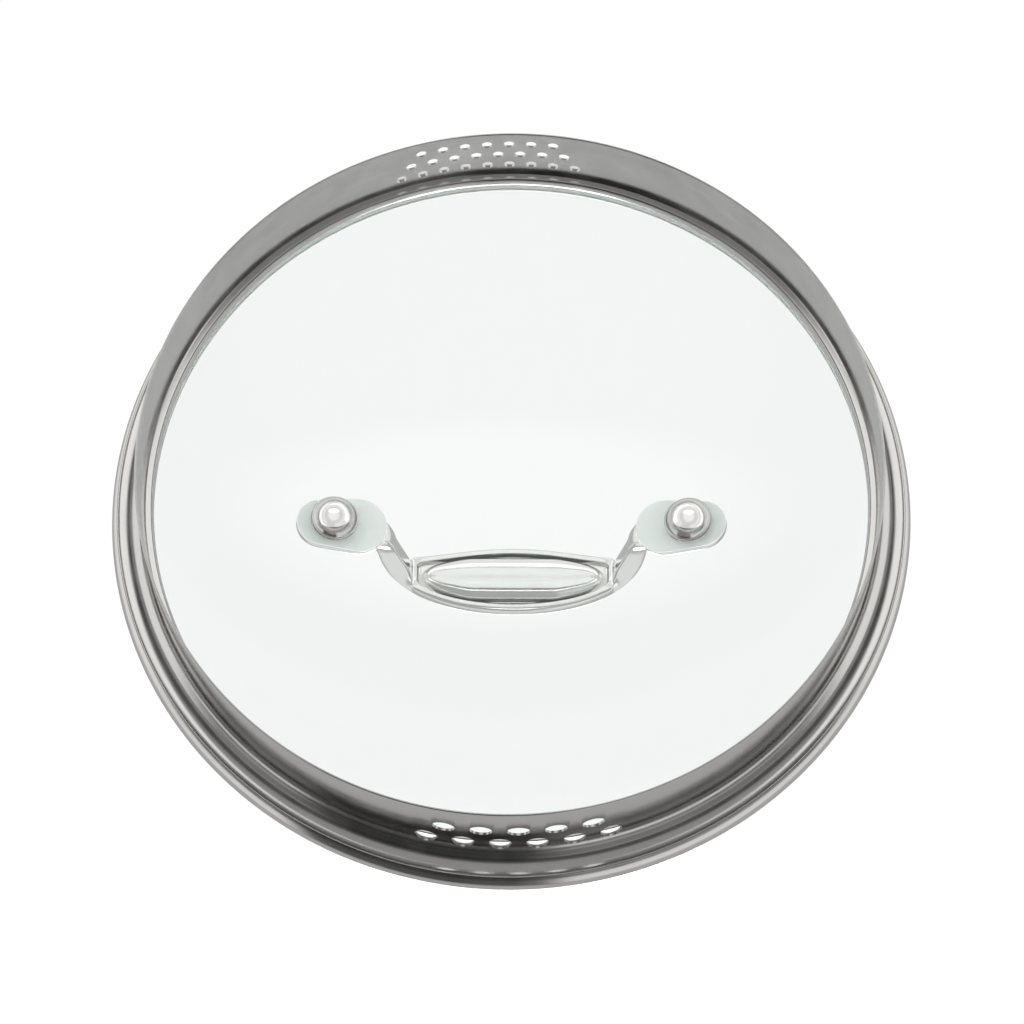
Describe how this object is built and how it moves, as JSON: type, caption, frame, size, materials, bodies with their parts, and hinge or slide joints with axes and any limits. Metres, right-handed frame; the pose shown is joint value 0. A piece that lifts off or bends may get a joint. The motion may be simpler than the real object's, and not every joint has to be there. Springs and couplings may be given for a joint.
{
  "type": "straining saucepan lid",
  "caption": "Domed glass saucepan lid with a stainless rim, a perforated straining skirt and an arched loop handle held by dome rivets.",
  "frame": {"origin": "on the lid's axis, in the plane of the skirt's free edge, which the lid stands on", "axes": "+Z along the lid's axis towards the handle, X along the handle, -Y towards the coarse drain holes, +Y towards the fine ones"},
  "size_m": [0.217, 0.217, 0.0879],
  "materials": {
    "rim_steel": "bright rolled",
    "polished_steel": "mirror polished",
    "clear_glass": "clear",
    "clear_silicone": "satin"
  },
  "bodies": {
    "root": {"strainer_skirt": "rim_steel", "rim_gutter": "rim_steel", "seat_ring": "rim_steel", "glass_seal": "clear_silicone", "glass_pane": "clear_glass", "rim_cover": "rim_steel", "handle": "polished_steel", "grip_backplate": "polished_steel", "pad_gasket_left": "clear_silicone", "pad_gasket_right": "clear_silicone", "glass_bush_left": "clear_silicone", "glass_bush_right": "clear_silicone", "inner_seal_left": "clear_silicone", "inner_seal_right": "clear_silicone", "rivet_washer_left": "rim_steel", "rivet_washer_right": "rim_steel", "rivet_left": "polished_steel", "rivet_right": "polished_steel"}
  },
  "joints": []
}
